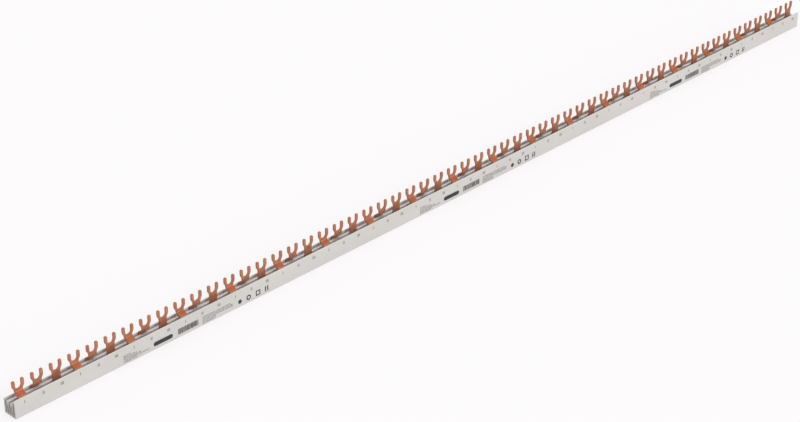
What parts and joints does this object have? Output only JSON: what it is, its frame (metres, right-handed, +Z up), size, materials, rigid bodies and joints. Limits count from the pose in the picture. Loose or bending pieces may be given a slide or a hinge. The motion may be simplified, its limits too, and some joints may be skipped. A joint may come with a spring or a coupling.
{
  "type": "three-phase comb busbar",
  "caption": "Insulated comb busbar with a row of copper fork terminals that links the screw terminals of a row of modular circuit breakers.",
  "frame": {"origin": "middle of the housing's base, halfway along the bar and halfway through its depth", "axes": "+X along the bar, towards the last fork; -Y out of the printed front wall; +Z up, the way the forks point"},
  "size_m": [1.0156, 0.0144, 0.029],
  "materials": {
    "housing_plastic": "satin extruded rigid plastic, light grey",
    "copper": "bright rolled copper, lightly toned, cut edges darker"
  },
  "bodies": {
    "root": {"housing": "housing_plastic", "front_phase_bar": "copper", "rear_phase_bar": "copper", "middle_phase_bar": "copper"}
  },
  "joints": []
}
